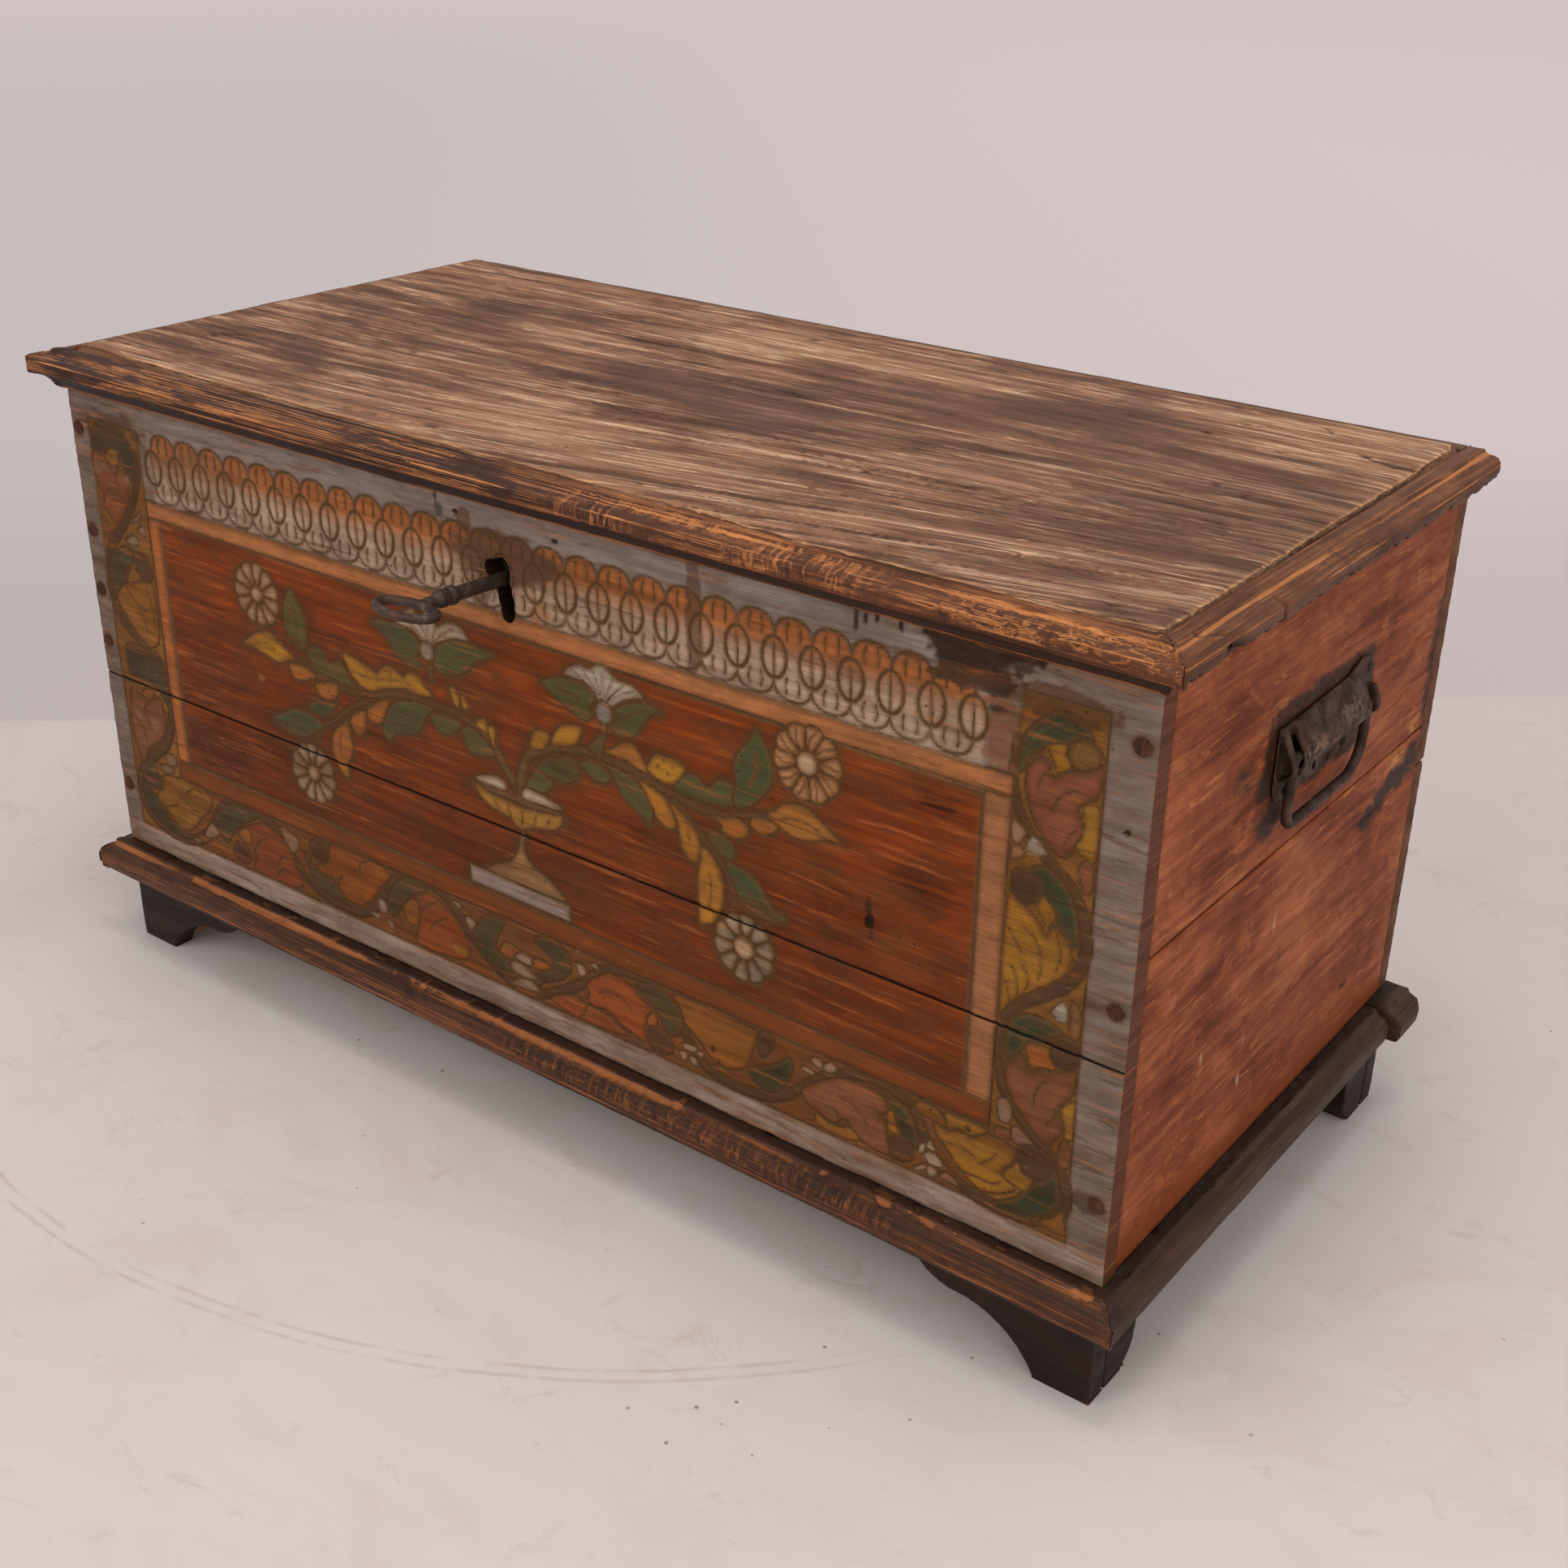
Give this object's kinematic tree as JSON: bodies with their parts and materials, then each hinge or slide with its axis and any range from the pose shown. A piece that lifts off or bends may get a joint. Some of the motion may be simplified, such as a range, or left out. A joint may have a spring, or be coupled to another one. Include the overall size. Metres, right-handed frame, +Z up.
{
  "type": "blanket chest",
  "caption": "Blanket chest of planks with a carved and painted front, a moulded lid on strap hinges, a lock with its key, drop handles at the ends and bracket feet.",
  "frame": {"origin": "centre of the overall footprint, on the floor; the footprint counts the key in front and the hinge knuckles behind, so the middle of the planked carcase lies 38.5 mm behind it", "axes": "+X along the front, to the right of someone facing it; +Y from the front to the back; +Z up"},
  "size_m": [0.9, 0.5006, 0.468],
  "materials": {
    "painted_front": "matt, carved and painted",
    "end_wood": "worn stain",
    "back_wood": "unfinished, darkened",
    "bottom_wood": "unfinished",
    "lid_wood": "weathered, bare",
    "moulding_wood": "worn dark stain",
    "foot_wood": "worn dark stain",
    "block_wood": "unfinished",
    "peg_wood": "worn dark stain",
    "black_iron": "forged, worn",
    "nail_iron": "forged",
    "lock_iron": "forged and filed"
  },
  "bodies": {
    "carcase": {"front_board_upper": "painted_front", "front_board_lower": "painted_front", "right_board_upper": "end_wood", "right_board_lower": "end_wood", "left_board_upper": "end_wood", "left_board_lower": "end_wood", "back_board_upper": "back_wood", "back_board_lower": "back_wood", "bottom_board_front": "bottom_wood", "bottom_board_rear": "bottom_wood", "base_moulding_front": "moulding_wood", "base_moulding_right": "moulding_wood", "base_moulding_left": "moulding_wood", "base_rear_plank": "moulding_wood", "foot_face_front_right": "foot_wood", "foot_face_front_left": "foot_wood", "foot_face_rear_right": "foot_wood", "foot_face_rear_left": "foot_wood", "foot_return_front_right": "foot_wood", "foot_return_front_left": "foot_wood", "foot_return_rear_right": "foot_wood", "foot_return_rear_left": "foot_wood", "glue_block_front_right": "block_wood", "glue_block_front_left": "block_wood", "glue_block_rear_right": "block_wood", "glue_block_rear_left": "block_wood", "front_pegs": "peg_wood", "back_pegs": "peg_wood", "hinge_leaf_right": "black_iron", "hinge_leaf_left": "black_iron", "hinge_pin_right": "black_iron", "hinge_pin_left": "black_iron", "handle_plate_right": "black_iron", "handle_plate_left": "black_iron", "hinge_leaf_nails": "nail_iron", "handle_nails_right": "nail_iron", "handle_nails_left": "nail_iron", "lock_nails": "nail_iron", "lock_back_plate": "lock_iron", "lock_case": "lock_iron", "lock_spring": "lock_iron"},
    "lid": {"lid_board": "lid_wood", "lid_moulding_front": "moulding_wood", "lid_moulding_right": "moulding_wood", "lid_moulding_left": "moulding_wood", "lid_rear_rail": "moulding_wood", "hinge_strap_right": "black_iron", "hinge_strap_left": "black_iron", "hinge_strap_nails": "nail_iron", "lock_staple": "lock_iron", "staple_nails": "nail_iron"},
    "bail_right": {"handle_bail_right": "black_iron"},
    "bail_left": {"handle_bail_left": "black_iron"},
    "bolt": {"lock_bolt": "lock_iron"},
    "key": {"key": "black_iron"}
  },
  "joints": [
    {"name": "lid_hinge", "type": "hinge", "parent": "carcase", "child": "lid", "pos_m": [0, 0.24571, 0.4464], "axis": [-1, 0, 0], "range_deg": [0, 105]},
    {"name": "bail_right_swing", "type": "hinge", "parent": "carcase", "child": "bail_right", "pos_m": [0.4316, 0.04471, 0.348], "axis": [0, -1, 0], "range_deg": [-2.5, 180]},
    {"name": "bail_left_swing", "type": "hinge", "parent": "carcase", "child": "bail_left", "pos_m": [-0.4316, 0.04471, 0.348], "axis": [0, 1, 0], "range_deg": [-2.5, 180]},
    {"name": "key_turn", "type": "hinge", "parent": "carcase", "child": "key", "pos_m": [-0.011, -0.16329, 0.3922], "axis": [0, 0.999, -0.0454], "range_deg": [0, 180]},
    {"name": "bolt_slide", "type": "slide", "parent": "carcase", "child": "bolt", "axis": [1, 0, 0], "range_m": [0, 0.009]}
  ],
  "couplings": [
    {"joint": "bolt_slide", "follows": "key_turn", "m_per_rad": 0.0028648}
  ]
}
